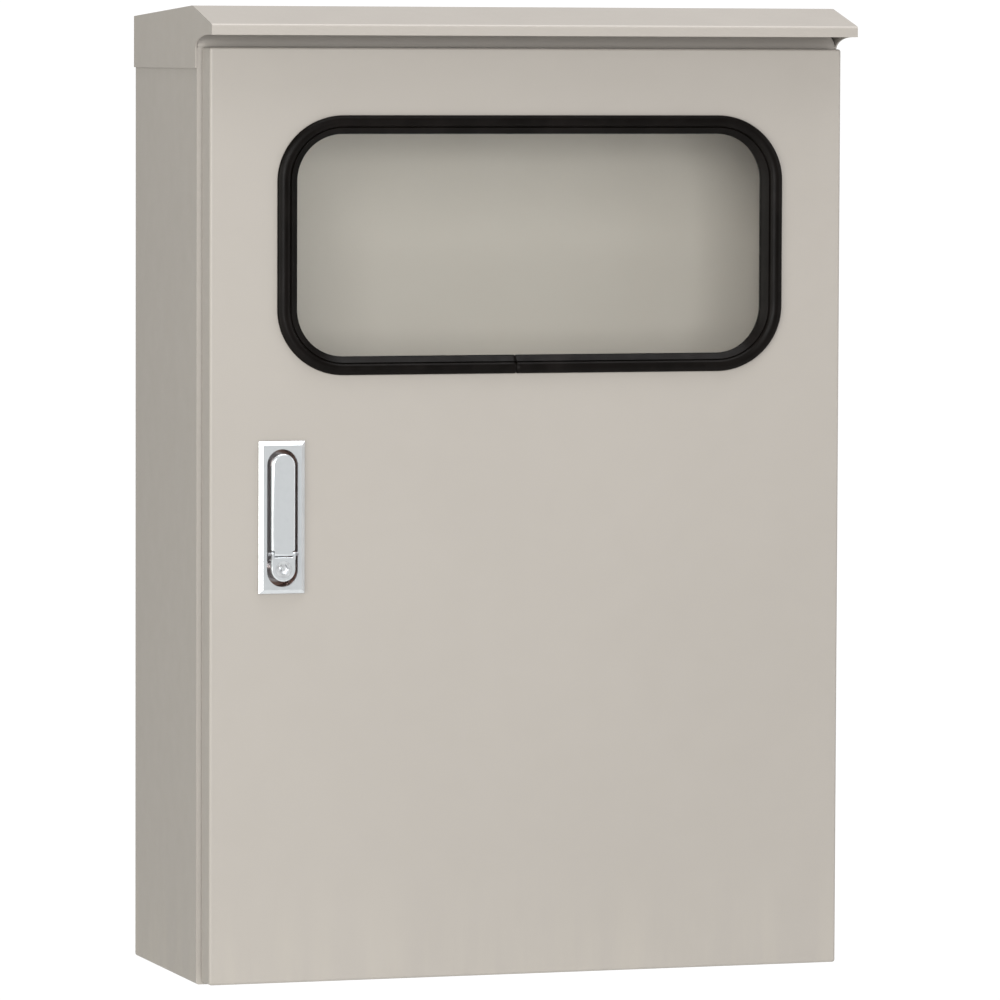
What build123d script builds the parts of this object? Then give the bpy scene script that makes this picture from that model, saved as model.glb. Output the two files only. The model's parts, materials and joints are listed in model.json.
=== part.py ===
from build123d import *
import math
import os

# Wall-mounted automatic transfer switch in a sheet-steel cabinet with a rain hood and a windowed door.
# Millimetres. X runs to the right, Y into the wall and Z up; the origin is the centre of the back face.
# "Out" is a distance from the wall, so a face at out = 30 stands at Y = -30.

# Cabinet
width = 500.0
height = 700.0
body_out = 176.0
sheet = 1.6
flange = 28.0
lip_out = 188.0
bolt_x = 225.0
bolt_z = 325.0
bolt_hole_r = 5.5
entry_x = (-120.0, 120.0)
entry_out = (45.0, 135.0)
grommet_xs = (-75.0, 0.0, 75.0)

# Door
door_front = 200.0
door_back = 178.4
door_half = 246.5
door_low = -348.0
door_high = 344.3
seal_width = 12.0
seal_gap = 0.3

# Window in the door: sizes of the visible opening inside its rubber
view_x = 2.1
view_z = 198.6
view_width = 362.6
view_height = 164.2
view_r = 35.0
rubber_width = 15.0
rubber_side = 16.1
rubber_top = 13.9
pane_grip = 6.0
panel_grip = 7.6
pane_back = 193.6
pane_thick = 4.0
rubber_front = 204.0

# Rain hood
hood_half = 251.4
hood_steel = 1.2
skirt_low = 328.8
hood_back_top = 367.6
ridge_out = 168.7
ridge_top = 375.0
brim_out = 222.7
brim_high = 361.3
brim_low = 353.4
bracket_x = 150.0
bracket_half = 14.0
bracket_out = (60.0, 100.0)
notch_out = 176.5
notch_long = 34.0
notch_high = 9.4
closer_low = 344.8
closer_high = 356.5
closer_r = 11.5

# Hinges
hinge_x = 240.0
hinge_out = 191.0
hinge_zs = (-250.0, 250.0)
hinge_half = 25.0
knuckle_r = 4.5
pin_r = 2.5
run_gap = 0.05

# Swing handle
grip_x = -191.8
hub_z = -40.0
pocket_low_z = -41.4
pocket_top_z = 36.8
pocket_r = 11.8
bezel_width = 35.2
bezel_height = 112.6
bezel_z = -1.9
bezel_back = 200.8
bezel_front = 203.8
tub_back = 184.0
tub_floor = 186.0
grip_r = 9.1
hub_r = 8.6
grip_back = 204.0
grip_front = 207.2
grip_top = 45.4
knuckle_z = -28.8
knuckle_out = (grip_back + grip_front) / 2
grip_knuckle_r = 1.6
grip_pin_r = 0.8
spindle_r = 5.0
boss_r = 9.0
boss_back = 176.0
cam_front = 173.9
cam_thick = 3.0
cam_reach = 42.8
plug_r = 5.8

# Equipment plate
plate_half = 244.5
plate_tall = 310.0
plate_front = 28.0
plate_thick = 2.5
stud_x = 195.0
stud_z = 290.0
rail_z = 45.0
rail_out = 35.5
rail_left = -180.0
rail_right = 190.0

# Controller on the rail
control_x = -100.0
control_width = 120.0
control_high = 90.0
control_low = 0.0
control_front = 92.0
button_r = 5.0
button_travel = 1.5
button_xs = (-130.0, -100.0, -70.0)
button_z = 18.0
display_x = (-130.0, -70.0)
display_z = (52.0, 80.0)
button_names = ("button_auto", "button_normal", "button_standby")

# Control breakers on the rail
breaker_xs = (0.0, 42.0)
breaker_width = 36.0
breaker_names = ("a", "b")
breaker_shoulder = 79.0
breaker_front = 95.0
toggle_out = 84.0
toggle_r = 6.0

# Transfer switch unit
unit_left = -110.0
unit_right = 150.0
unit_low = -190.0
unit_high = -50.0
unit_back = plate_front
base_out = 88.0
cover_out = 118.0
wall = 6.0
pole_pitch = 46.0
pole_first = -21.0
poles = 4
shaft_z = -120.0
shaft_out = 70.0
shaft_r = 8.0
throw = 35.0
blade_reach = 36.0
blade_half = 2.5
gear_module = 1.25
gear_teeth = 36
pinion_teeth = 12
gear_spread = 30.2
gear_x = -87.0
gear_thick = 6.0
motor_left = -80.0
motor_right = -50.0
lever_x = -66.0
lever_slot_x = (-72.0, -60.0)

TURN = {"X": (0, 90, 0), "Y": (90, 0, 0), "Z": (0, 0, 0)}
CORNERS = [(sx, sz) for sx in (-1, 1) for sz in (-1, 1)]


def front(out):
    """The plane that faces away from the wall at this distance from it."""
    return Plane.XZ.offset(out)


def block(x, out, z, mode=Mode.ADD):
    """A box from three ranges: x, distance from the wall, and z."""
    centre = (sum(x) / 2, -sum(out) / 2, sum(z) / 2)
    with Locations(centre):
        Box(x[1] - x[0], out[1] - out[0], z[1] - z[0], mode=mode)


def rod(places, radius, length, axis, mode=Mode.ADD):
    """Equal cylinders along one axis; each place is the centre as x, out, z."""
    with Locations(*[(x, -out, z) for x, out, z in places]):
        Cylinder(radius, length, rotation=TURN[axis], mode=mode)


def rod_out(places, radius, start, end, mode=Mode.ADD):
    """Cylinders that stand out of the wall from start to end; each place is x, z."""
    middle = (start + end) / 2
    rod([(x, middle, z) for x, z in places], radius, end - start, "Y", mode)


def hexagon_out(places, across, start, end):
    """Hexagonal heads or nuts whose axes stand out of the wall."""
    with BuildSketch(front(start)) as outline:
        with Locations(*places):
            RegularPolygon(across / 2, 6, major_radius=False)
    extrude(outline.sketch, amount=end - start)


def rounded(out, x, z, size, radius, depth, mode=Mode.ADD):
    """A round-cornered plate that stands out of the wall from out by depth."""
    with BuildSketch(front(out)) as outline:
        with Locations((x, z)):
            RectangleRounded(size[0], size[1], radius)
    extrude(outline.sketch, amount=depth, mode=mode)


def stadium(out, radius, depth, mode=Mode.ADD):
    """The long round-ended shape of the handle's pocket."""
    middle = (pocket_low_z + pocket_top_z) / 2
    long = pocket_top_z - pocket_low_z + 2 * radius
    with BuildSketch(front(out)) as outline:
        with Locations((grip_x, middle)):
            SlotOverall(long, 2 * radius, rotation=90)
    extrude(outline.sketch, amount=depth, mode=mode)


def profile(points, x, mode=Mode.ADD):
    """An outline of (out, z) points, pulled along X over a range."""
    with BuildSketch(Plane.YZ.offset(x[0])) as outline:
        with BuildLine():
            Polyline(*[(-out, z) for out, z in points], close=True)
        make_face()
    extrude(outline.sketch, amount=x[1] - x[0], mode=mode)


def save(part, node):
    """Labels a finished piece and writes it as its own file."""
    part.label = node
    export_step(part, f"parts/{node}.step")


# ---------------------------------------------------------------- cabinet


def cabinet_shell():
    """Folded body: back, four walls, front flanges and the lip that the door seal closes on."""
    side = width / 2
    top = height / 2
    open_x = side - flange
    open_z = top - flange
    with BuildPart() as shell:
        block((-side, side), (0, body_out), (-top, top))
        corners = shell.edges().filter_by(Axis.Y).sort_by(Axis.Z)
        fillet(corners[:2], 2.0)
        fillet(corners[2:], 8.0)
        inside = (sheet, body_out - sheet)
        block((sheet - side, side - sheet), inside, (sheet - top, top - sheet), Mode.SUBTRACT)
        lip_x = open_x + sheet
        lip_z = open_z + sheet
        block((-lip_x, lip_x), (body_out - sheet, lip_out), (-lip_z, lip_z))
        through = (body_out - 2 * sheet, lip_out + 1)
        block((-open_x, open_x), through, (-open_z, open_z), Mode.SUBTRACT)
        rod_out([(bolt_x * i, bolt_z * k) for i, k in CORNERS], bolt_hole_r, -1, 5, Mode.SUBTRACT)
        block(entry_x, entry_out, (-top - 1, sheet + 1 - top), Mode.SUBTRACT)
        for x, z in hinge_screw_places():
            rod_out([(x, z)], 2.1, body_out - 3, body_out + 1, Mode.SUBTRACT)
        rod([(x, out, top) for x, out in hood_screw_places()], 2.6, 6, "Z", Mode.SUBTRACT)
        gland = [(x, out, -top) for x, out in gland_screw_places()]
        rod(gland, 2.1, 6, "Z", Mode.SUBTRACT)
    return shell.part


def hood_screw_places():
    return [(side * bracket_x, sum(bracket_out) / 2) for side in (-1, 1)]


def gland_screw_places():
    return [(x, out) for x in (-128.0, 0.0, 128.0) for out in (37.0, 143.0)]


def rain_hood():
    """One-piece cap with a sloping brim, side skirts and two channels under its roof."""
    inner = hood_half - hood_steel
    bracket_low = height / 2
    closer_out = (body_out + 0.05, body_out + 0.05 + hood_steel)
    with BuildPart() as hood:
        with BuildSketch(Plane.YZ.offset(-hood_half)):
            with BuildLine():
                Polyline(
                    (-notch_out, brim_low - notch_high),
                    (-notch_out, skirt_low),
                    (0, skirt_low),
                    (0, hood_back_top),
                    (-ridge_out, ridge_top),
                    (-brim_out, brim_high),
                    (-brim_out, brim_low),
                    (-notch_out - notch_long, brim_low),
                )
                pull = 0.5523
                Bezier(
                    (-notch_out - notch_long, brim_low),
                    (-notch_out - notch_long * (1 - pull), brim_low),
                    (-notch_out, brim_low - notch_high * (1 - pull)),
                    (-notch_out, brim_low - notch_high),
                )
            make_face()
        extrude(amount=2 * hood_half)
        ridge = hood.edges().filter_by(Axis.X).sort_by(Axis.Z)[-1]
        fillet(ridge, 14.0)
        brim = hood.edges().filter_by(Axis.X).sort_by(Axis.Y)[:2].sort_by(Axis.Z)[-1]
        fillet(brim, 2.2)
        hollow = [
            (sheet, height / 2 + 0.2),
            (sheet, hood_back_top - sheet),
            (ridge_out, ridge_top - sheet - 0.2),
            (brim_out - sheet, brim_high - sheet),
            (brim_out - sheet, skirt_low - 1),
            (-1, skirt_low - 1),
            (-1, height / 2 + 0.2),
        ]
        profile(hollow, (-inner, inner), Mode.SUBTRACT)
        for side in (-1, 1):
            foot = (side * bracket_x - bracket_half, side * bracket_x + bracket_half)
            roof = hood_back_top - sheet + (ridge_top - hood_back_top) * bracket_out[0] / ridge_out
            block(foot, bracket_out, (bracket_low, roof + 0.8))
            hole = (bracket_out[0] + sheet, bracket_out[1] - sheet)
            block(foot, hole, (bracket_low + sheet, roof - 0.2), Mode.SUBTRACT)
        rod([(x, out, bracket_low) for x, out in hood_screw_places()], 2.6, 8, "Z", Mode.SUBTRACT)
        with BuildSketch(front(closer_out[0])) as closer:
            with Locations((0, (closer_low + closer_high) / 2)):
                Rectangle(width - 0.2, closer_high - closer_low)
            fillet(closer.vertices().group_by(Axis.Y)[-1], closer_r)
        extrude(closer.sketch, amount=hood_steel)
        block((20 - width / 2, width / 2 - 20), closer_out, (closer_high - 1, ridge_top - sheet - 1.9))
    return hood.part


def hood_screws():
    """Screws that come up through the cabinet's top into the hood's channels, each with its nut."""
    under = height / 2 - sheet
    with BuildPart() as screws:
        rod([(x, out, under - 2) for x, out in hood_screw_places()], 4.5, 4, "Z")
        rod([(x, out, under + 5) for x, out in hood_screw_places()], 2.5, 10, "Z")
        places = [(x, out, height / 2 + sheet + 2) for x, out in hood_screw_places()]
        rod(places, 4.5, 4, "Z")
    return screws.part


def hinge_screw_places():
    return [(230.5, z - shift) for z in hinge_zs for shift in (6.5, 18.5)]


def hinge_body_leaves():
    """Lower half of each lift-off hinge: a leaf on the flange, a web and a knuckle."""
    leaf_out = body_out + 2.4
    with BuildPart() as leaves:
        for z in hinge_zs:
            span = (z - hinge_half, z - 0.2)
            block((226.0, 237.8), (body_out, leaf_out), span)
            block((235.5, 237.8), (body_out, hinge_out), span)
            rod([(hinge_x, hinge_out, sum(span) / 2)], knuckle_r, hinge_half - 0.2, "Z")
        rod([(hinge_x, hinge_out, z) for z in hinge_zs], pin_r, 2 * hinge_half + 2, "Z", Mode.SUBTRACT)
        rod_out(hinge_screw_places(), 2.1, body_out - 1, leaf_out + 1, Mode.SUBTRACT)
    return leaves.part


def hinge_pins():
    """Pins fixed in the lower knuckles, with domed tops that enter the door's knuckles."""
    with BuildPart() as pins:
        rod([(hinge_x, hinge_out, z - 0.5) for z in hinge_zs], pin_r, 2 * hinge_half - 1, "Z")
        tops = pins.edges().filter_by(GeomType.CIRCLE).filter_by(lambda e: round(e.center().Z % 250, 3) == 24.0)
        chamfer(tops, 0.8)
    return pins.part


def hinge_screws():
    """Screws through the lower leaves and the cabinet's flange."""
    leaf_out = body_out + 2.4
    with BuildPart() as screws:
        rod_out(hinge_screw_places(), 3.4, leaf_out, leaf_out + 2.2)
        rod_out(hinge_screw_places(), 1.95, body_out - 6, leaf_out + 1)
        rod_out(hinge_screw_places(), 3.6, body_out - sheet - 3, body_out - sheet)
    return screws.part


def gland_plate():
    """Removable plate over the cable entry, inside the bottom wall."""
    low = sheet - height / 2
    with BuildPart() as plate:
        block((-136, 136), (29, 151), (low, low + 2))
        rod([(x, 90, low) for x in grommet_xs], 17.0, 10, "Z", Mode.SUBTRACT)
        rod([(x, out, low) for x, out in gland_screw_places()], 2.1, 10, "Z", Mode.SUBTRACT)
    return plate.part




def gland_screws():
    """Screws and nuts that hold the gland plate."""
    low = sheet - height / 2
    with BuildPart() as screws:
        rod([(x, out, low + 3.5) for x, out in gland_screw_places()], 3.8, 3, "Z")
        rod([(x, out, low + 1.7) for x, out in gland_screw_places()], 1.95, 6.6, "Z")
    return screws.part


def cable_grommets():
    """Rubber entries with a closed membrane, to be cut for each cable."""
    low = sheet - height / 2
    with BuildPart() as grommets:
        rod([(x, 90, low + 1.9) for x in grommet_xs], 16.9, 6.2, "Z")
        rod([(x, 90, low + 3.5) for x in grommet_xs], 20.0, 3, "Z")
        rod([(x, 90, low - 0.5) for x in grommet_xs], 18.5, 1, "Z")
        rod([(x, 90, low + 4.5) for x in grommet_xs], 13.0, 5, "Z", Mode.SUBTRACT)
        rod([(x, 90, low - 1.5) for x in grommet_xs], 13.0, 5, "Z", Mode.SUBTRACT)
    return grommets.part


def mounting_plate():
    """Flat equipment plate with four fixing holes."""
    with BuildPart() as plate:
        block((-plate_half, plate_half), (plate_front - plate_thick, plate_front), (-plate_tall, plate_tall))
        fillet(plate.edges().filter_by(Axis.Y), 6.0)
        rod_out([(stud_x * i, stud_z * k) for i, k in CORNERS], 4.6, 20, 30, Mode.SUBTRACT)
    return plate.part


def plate_studs():
    """Collared studs welded to the back, which carry the equipment plate."""
    places = [(stud_x * i, stud_z * k) for i, k in CORNERS]
    with BuildPart() as studs:
        rod_out(places, 7.0, sheet, plate_front - plate_thick)
        rod_out(places, 4.0, sheet, 44)
    return studs.part


def plate_nuts():
    """Nuts and washers on the plate's studs."""
    places = [(stud_x * i, stud_z * k) for i, k in CORNERS]
    with BuildPart() as nuts:
        rod_out(places, 8.0, plate_front, plate_front + 1.6)
        hexagon_out(places, 13.0, plate_front + 1.6, plate_front + 8)
        rod_out(places, 4.05, 20, 44, Mode.SUBTRACT)
    return nuts.part


# ---------------------------------------------------------------- rail equipment


def din_rail():
    """Top-hat rail, 35 mm wide and 7.5 mm high."""
    steel = 1.0
    web = rail_out - plate_front
    hat = [
        (0, -12.5), (0, 12.5), (web - steel, 12.5), (web - steel, 17.5), (web, 17.5), (web, 11.5),
        (steel, 11.5), (steel, -11.5), (web, -11.5), (web, -17.5), (web - steel, -17.5), (web - steel, -12.5),
    ]
    with BuildPart() as rail:
        profile([(plate_front + out, rail_z + z) for out, z in hat], (rail_left, rail_right))
        holes = [(x, rail_z) for x in range(-150, 181, 30)]
        rod_out(holes, 2.6, plate_front - 1, plate_front + 2, Mode.SUBTRACT)
    return rail.part


def wiring_duct():
    """Slotted duct between the rail and the switch unit."""
    low = -36.0
    high = -10.0
    top = 66.0
    with BuildPart() as duct:
        block((rail_left, rail_right), (plate_front, top), (low, high))
        block((rail_left - 1, rail_right + 1), (plate_front + 1.5, top + 1), (low + 1.5, high - 1.5), Mode.SUBTRACT)
        slots = int((rail_right - rail_left) / 12.5)
        for i in range(slots):
            x = rail_left + 6 + 12.5 * i
            block((x, x + 5), (plate_front + 12, top + 1), (low - 1, high + 1), Mode.SUBTRACT)
    return duct.part


def duct_cover():
    """Snap-on cover of the duct."""
    with BuildPart() as cover:
        block((rail_left, rail_right), (66.0, 67.5), (-37.6, -8.4))
        for z in ((-37.6, -36.1), (-9.9, -8.4)):
            block((rail_left, rail_right), (60.0, 67.5), z)
    return cover.part


def controller_case():
    """Housing of the changeover controller, open at the back against the rail."""
    x = (control_x - control_width / 2, control_x + control_width / 2)
    wall_c = 2.5
    with BuildPart() as case:
        block(x, (rail_out, control_front), (control_low, control_high))
        fillet(case.faces().sort_by(Axis.Y)[0].edges(), 3.0)
        inner = (x[0] + wall_c, x[1] - wall_c)
        deep = (rail_out - 1, control_front - wall_c)
        block(inner, deep, (control_low + wall_c, control_high - wall_c), Mode.SUBTRACT)
        rod_out([(bx, button_z) for bx in button_xs], button_r + 0.3, 80, 100, Mode.SUBTRACT)
        rod_out(lens_places(), 2.5, 80, 100, Mode.SUBTRACT)
        front_out = control_front - 1.2
        block(display_x, (front_out, control_front + 1), display_z, Mode.SUBTRACT)
    return case.part




def lens_places():
    return [(control_x + step, 38.0) for step in (-36.0, -12.0, 12.0, 36.0)]


def controller_display():
    """Clear pane in the controller's front."""
    with BuildPart() as pane:
        block(display_x, (control_front - 1.2, control_front + 0.3), display_z)
    return pane.part


def indicator_lenses():
    """Four domed status lenses."""
    with BuildPart() as lenses:
        rod_out(lens_places(), 2.5, control_front - 4, control_front + 1.5)
        fillet(lenses.faces().group_by(Axis.Y)[0].edges(), 1.2)
    return lenses.part


def controller_button(x):
    """Push button with a retaining collar behind the controller's front."""
    wall_c = 2.5
    collar = control_front - wall_c - button_travel
    with BuildPart() as button:
        rod_out([(x, button_z)], button_r, collar - 4, control_front + 2.5)
        fillet(button.faces().sort_by(Axis.Y)[0].edges(), 0.8)
        rod_out([(x, button_z)], button_r + 1.5, collar - 0.4, collar + 1.1)
    return button.part


def breaker_case(x):
    """Two-pole modular breaker body with a slot for its toggle."""
    mid = rail_z
    outline = [
        (rail_out, mid - 40), (rail_out, mid + 40), (breaker_shoulder, mid + 40), (breaker_shoulder, mid + 23),
        (breaker_front, mid + 20), (breaker_front, mid - 20), (breaker_shoulder, mid - 23),
        (breaker_shoulder, mid - 40),
    ]
    with BuildPart() as case:
        profile(outline, (x, x + breaker_width))
        chamfer(case.faces().sort_by(Axis.Y)[0].edges(), 0.6)
        middle = x + breaker_width / 2
        block((middle - 12, middle + 12), (toggle_out - 8, breaker_front + 1), (mid - 12, mid + 12), Mode.SUBTRACT)
        ends = [(middle + side * 9, z) for side in (-1, 1) for z in (mid - 31, mid + 31)]
        rod_out(ends, 3.0, breaker_shoulder - 12, breaker_shoulder + 1, Mode.SUBTRACT)
    return case.part


def breaker_toggle(x):
    """Toggle across both poles, drawn in its closed position, up."""
    middle = x + breaker_width / 2
    half = 11.6
    tilt = math.radians(25)
    along = (math.cos(tilt), math.sin(tilt))
    across = (-math.sin(tilt), math.cos(tilt))
    blade = []
    for reach, side in ((0, 3.2), (20, 2.4), (20, -2.4), (0, -3.2)):
        out = toggle_out + reach * along[0] + side * across[0]
        blade.append((out, rail_z + reach * along[1] + side * across[1]))
    with BuildPart() as toggle:
        rod([(middle, toggle_out, rail_z)], toggle_r, 2 * half, "X")
        profile(blade, (middle - half + 2, middle + half - 2))
    return toggle.part


def terminal_blocks():
    """Row of feed-through terminals on the rail."""
    count = 10
    pitch = 6.2
    start = 100.0
    with BuildPart() as terminals:
        for i in range(count):
            x = (start + i * pitch, start + i * pitch + 6.0)
            outline = [
                (rail_out, rail_z - 22), (rail_out, rail_z + 22), (62, rail_z + 22), (74, rail_z + 12),
                (74, rail_z - 12), (62, rail_z - 22),
            ]
            profile(outline, x)
            centre = sum(x) / 2
            rod_out([(centre, rail_z + 7), (centre, rail_z - 7)], 2.2, 66, 75, Mode.SUBTRACT)
    return terminals.part


def earth_bar():
    """Brass bar on two bent feet at the bottom of the plate."""
    with BuildPart() as bar:
        block((-90, 90), (48, 54), (-256, -244))
        for foot in ((-90, -84), (84, 90)):
            block(foot, (plate_front, 54), (-256, -244))
        rod_out(earth_places(), 2.1, 40, 60, Mode.SUBTRACT)
    return bar.part


def earth_places():
    return [(x, -250.0) for x in range(-72, 73, 18)]


def earth_screws():
    """Clamping screws of the earth bar."""
    with BuildPart() as screws:
        rod_out(earth_places(), 1.95, 44, 56)
        rod_out(earth_places(), 4.0, 54, 57)
        for x, z in earth_places():
            block((x - 3, x + 3), (56.2, 58), (z - 0.5, z + 0.5), Mode.SUBTRACT)
    return screws.part


# ---------------------------------------------------------------- transfer switch unit


def pole_centre(i):
    return pole_first + pole_pitch * i


def around_shaft(angle, reach, side):
    """A point near the shaft: angle up from straight out, distance along it and offset above it."""
    turn = math.radians(angle)
    out = shaft_out + reach * math.cos(turn) - side * math.sin(turn)
    return (out, shaft_z + reach * math.sin(turn) + side * math.cos(turn))


def ats_base():
    """Moulded base with a drive bay on the left and one bay per pole."""
    bays = [(unit_left + wall, pole_first - pole_pitch / 2 - 3)]
    for i in range(poles):
        bays.append((pole_centre(i) - pole_pitch / 2 + 3, pole_centre(i) + pole_pitch / 2 - 3))
    with BuildPart() as base:
        block((unit_left, unit_right), (unit_back, base_out), (unit_low, unit_high))
        for bay in bays:
            block(bay, (unit_back + 4, base_out + 1), (unit_low + wall, unit_high - wall), Mode.SUBTRACT)
        slot = (shaft_out, base_out + 1)
        reach = (unit_left + wall - 1, unit_right + 1)
        block(reach, slot, (shaft_z - 10, shaft_z + 10), Mode.SUBTRACT)
        rod([(sum(reach) / 2, shaft_out, shaft_z)], 10, reach[1] - reach[0], "X", Mode.SUBTRACT)
        for i in range(poles):
            x = (pole_centre(i) - 8.2, pole_centre(i) + 8.2)
            block(x, (80, base_out + 1), (unit_high - wall - 1, unit_high + 1), Mode.SUBTRACT)
            block(x, (80, base_out + 1), (unit_low - 1, unit_low + wall + 1), Mode.SUBTRACT)
            block(x, (35.8, 40.2), (unit_low - 1, unit_low + wall + 1), Mode.SUBTRACT)
    return base.part


def ats_cover():
    """Front cover with slots for the manual lever and the position flag, and half walls between poles."""
    skin = 2.5
    with BuildPart() as cover:
        block((unit_left, unit_right), (base_out, cover_out), (unit_low, unit_high))
        fillet(cover.faces().sort_by(Axis.Y)[0].edges(), 4.0)
        inner = (unit_left + skin, unit_right - skin)
        block(inner, (base_out - 1, cover_out - skin), (unit_low + skin, unit_high - skin), Mode.SUBTRACT)
        block(lever_slot_x, (cover_out - 5, cover_out + 1), (shaft_z - 46, shaft_z + 46), Mode.SUBTRACT)
        block((-102, -92), (cover_out - 5, cover_out + 1), (shaft_z - 9, shaft_z + 9), Mode.SUBTRACT)
        for i in range(poles + 1):
            x = pole_first - pole_pitch / 2 + pole_pitch * i
            if i < poles:
                block((x - 1.5, x + 1.5), (base_out, cover_out - skin), (unit_low + 1, unit_high - 1))
    return cover.part




def shaft_bearings():
    """Bearing blocks that close the shaft's slots at both ends of the pole bays."""
    with BuildPart() as bearings:
        for x in ((-47.0, -41.0), (144.0, 150.0)):
            block(x, (shaft_out, base_out), (shaft_z - 9.9, shaft_z + 9.9))
            rod([(sum(x) / 2, shaft_out, shaft_z)], 9.9, 6, "X")
        rod([(50, shaft_out, shaft_z)], shaft_r + run_gap, 240, "X", Mode.SUBTRACT)
    return bearings.part


def fixed_contacts(sign):
    """A row of stationary contacts: pad outside, bar through the wall and a face for the blade."""
    edge = unit_high if sign > 0 else unit_low
    with BuildPart() as contacts:
        for i in range(poles):
            x = (pole_centre(i) - 8, pole_centre(i) + 8)
            ends = sorted((edge + sign * 18, shaft_z + sign * 15.5))
            block(x, (80.2, 84.2), tuple(ends))
            face = []
            for reach, side in ((20, 2.9), (37, 2.9), (37, 6.9), (20, 6.9)):
                out, z = around_shaft(throw, reach, side)
                face.append((out, shaft_z + sign * (z - shaft_z)))
            profile(face, x)
        places = [(pole_centre(i), edge + sign * 10) for i in range(poles)]
        rod_out(places, 4.1, 70, 90, Mode.SUBTRACT)
    return contacts.part


def load_contacts():
    """Rear bars that feed the moving blades and end in pads below the base."""
    with BuildPart() as contacts:
        for i in range(poles):
            x = (pole_centre(i) - 8, pole_centre(i) + 8)
            block(x, (36, 40), (unit_low - 18, shaft_z + 6))
            block((x[0] + 3, x[1] - 3), (36, shaft_out - 12.4), (shaft_z - 4, shaft_z + 4))
        places = [(pole_centre(i), unit_low - 10) for i in range(poles)]
        rod_out(places, 4.1, 30, 50, Mode.SUBTRACT)
    return contacts.part


def terminal_bolts():
    """Bolt and nut at each terminal pad."""
    rows = [(unit_high + 10, 80.2, 84.2), (unit_low - 10, 80.2, 84.2), (unit_low - 10, 36.0, 40.0)]
    with BuildPart() as bolts:
        for z, back, face in rows:
            places = [(pole_centre(i), z) for i in range(poles)]
            rod_out(places, 4.0, back - 7, face + 5)
            hexagon_out(places, 13.0, face, face + 5.3)
            if back > 60:
                hexagon_out(places, 13.0, back - 6, back)
            else:
                hexagon_out(places, 13.0, back - 5, back)
    return bolts.part


def contact_shaft():
    """Insulating shaft that carries the blades."""
    with BuildPart() as shaft:
        rod([(23.5, shaft_out, shaft_z)], shaft_r, 253, "X")
    return shaft.part


def moving_blades():
    """Changeover blades on hubs, drawn against the normal-supply contacts."""
    with BuildPart() as blades:
        for i in range(poles):
            x = (pole_centre(i) - 6, pole_centre(i) + 6)
            rod([(pole_centre(i), shaft_out, shaft_z)], 12, 12, "X")
            corners = ((0, blade_half), (blade_reach, blade_half), (blade_reach, -blade_half), (0, -blade_half))
            profile([around_shaft(throw, reach, side) for reach, side in corners], x)
        rod([(50, shaft_out, shaft_z)], shaft_r, 260, "X", Mode.SUBTRACT)
    return blades.part


def gear_outline(teeth, phase):
    """Points of a straight-flanked gear with a tooth centred on the phase angle, in degrees."""
    pitch_r = gear_module * teeth / 2
    step = 360 / teeth
    shape = ((pitch_r - 1.25 * gear_module, 0.27), (pitch_r, 0.19), (pitch_r + 0.8 * gear_module, 0.10))
    points = []
    for i in range(teeth):
        middle = phase + i * step
        for side in (-1, 1):
            order = shape if side < 0 else tuple(reversed(shape))
            for radius, share in order:
                angle = math.radians(middle + side * share * step)
                points.append((radius * math.cos(angle), radius * math.sin(angle)))
    return points


def gear(teeth, phase, out, z, bore, hub_r, hub_end):
    """A spur gear on an axis along X, with a hub on its right."""
    with BuildPart() as wheel:
        with BuildSketch(Plane.YZ.offset(gear_x - gear_thick / 2)) as outline:
            with BuildLine():
                Polyline(*[(u - out, v + z) for u, v in gear_outline(teeth, phase)], close=True)
            make_face()
        extrude(outline.sketch, amount=gear_thick, mode=Mode.REPLACE)
        start = gear_x + gear_thick / 2
        rod([((start + hub_end) / 2, out, z)], hub_r, hub_end - start, "X")
        if bore:
            rod([(gear_x, out, z)], bore, 60, "X", Mode.SUBTRACT)
    return wheel.part


def motor_bracket():
    """Steel plate in the drive bay that holds the motor beside the shaft."""
    with BuildPart() as bracket:
        block((-82, -80), (unit_back + 4, 86), (-160, -66))
        block((-80, -58), (unit_back + 4, unit_back + 6), (-160, -66))
        rod([(-81, shaft_out, shaft_z)], shaft_r + 2, 6, "X", Mode.SUBTRACT)
        rod([(-81, shaft_out, shaft_z + gear_spread)], 5.3, 6, "X", Mode.SUBTRACT)
    return bracket.part


def drive_motor():
    """Geared motor with a bore for its output pinion."""
    z = shaft_z + gear_spread
    with BuildPart() as motor:
        rod([((motor_left + motor_right) / 2, shaft_out, z)], 15, motor_right - motor_left, "X")
        chamfer(motor.faces().sort_by(Axis.X)[-1].edges(), 1.5)
        rod([(motor_left, shaft_out, z)], 3 + run_gap, 20, "X", Mode.SUBTRACT)
    return motor.part


def motor_pinion():
    """Output pinion with its stub shaft."""
    z = shaft_z + gear_spread
    gap = 180 / pinion_teeth
    with BuildPart() as pinion:
        with BuildSketch(Plane.YZ.offset(gear_x - gear_thick / 2)) as outline:
            with BuildLine():
                teeth = gear_outline(pinion_teeth, -90 + gap)
                Polyline(*[(u - shaft_out, v + z) for u, v in teeth], close=True)
            make_face()
        extrude(outline.sketch, amount=gear_thick, mode=Mode.REPLACE)
        rod([(-82.5, shaft_out, z)], 3, 21, "X")
    return pinion.part


def manual_lever():
    """Hand lever clamped on the shaft, which comes out through the cover's slot."""
    arm = [around_shaft(throw, reach, side) for reach, side in ((0, 3.5), (62, 3.5), (62, -3.5), (0, -3.5))]
    grip = [around_shaft(throw, reach, side) for reach, side in ((60, 5), (88, 5), (88, -5), (60, -5))]
    with BuildPart() as lever:
        rod([(lever_x, shaft_out, shaft_z)], 12, 8, "X")
        profile(arm, (lever_x - 2.5, lever_x + 2.5))
        profile(grip, (lever_x - 4.5, lever_x + 4.5))
        rod([(lever_x, shaft_out, shaft_z)], shaft_r, 20, "X", Mode.SUBTRACT)
    return lever.part


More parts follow.
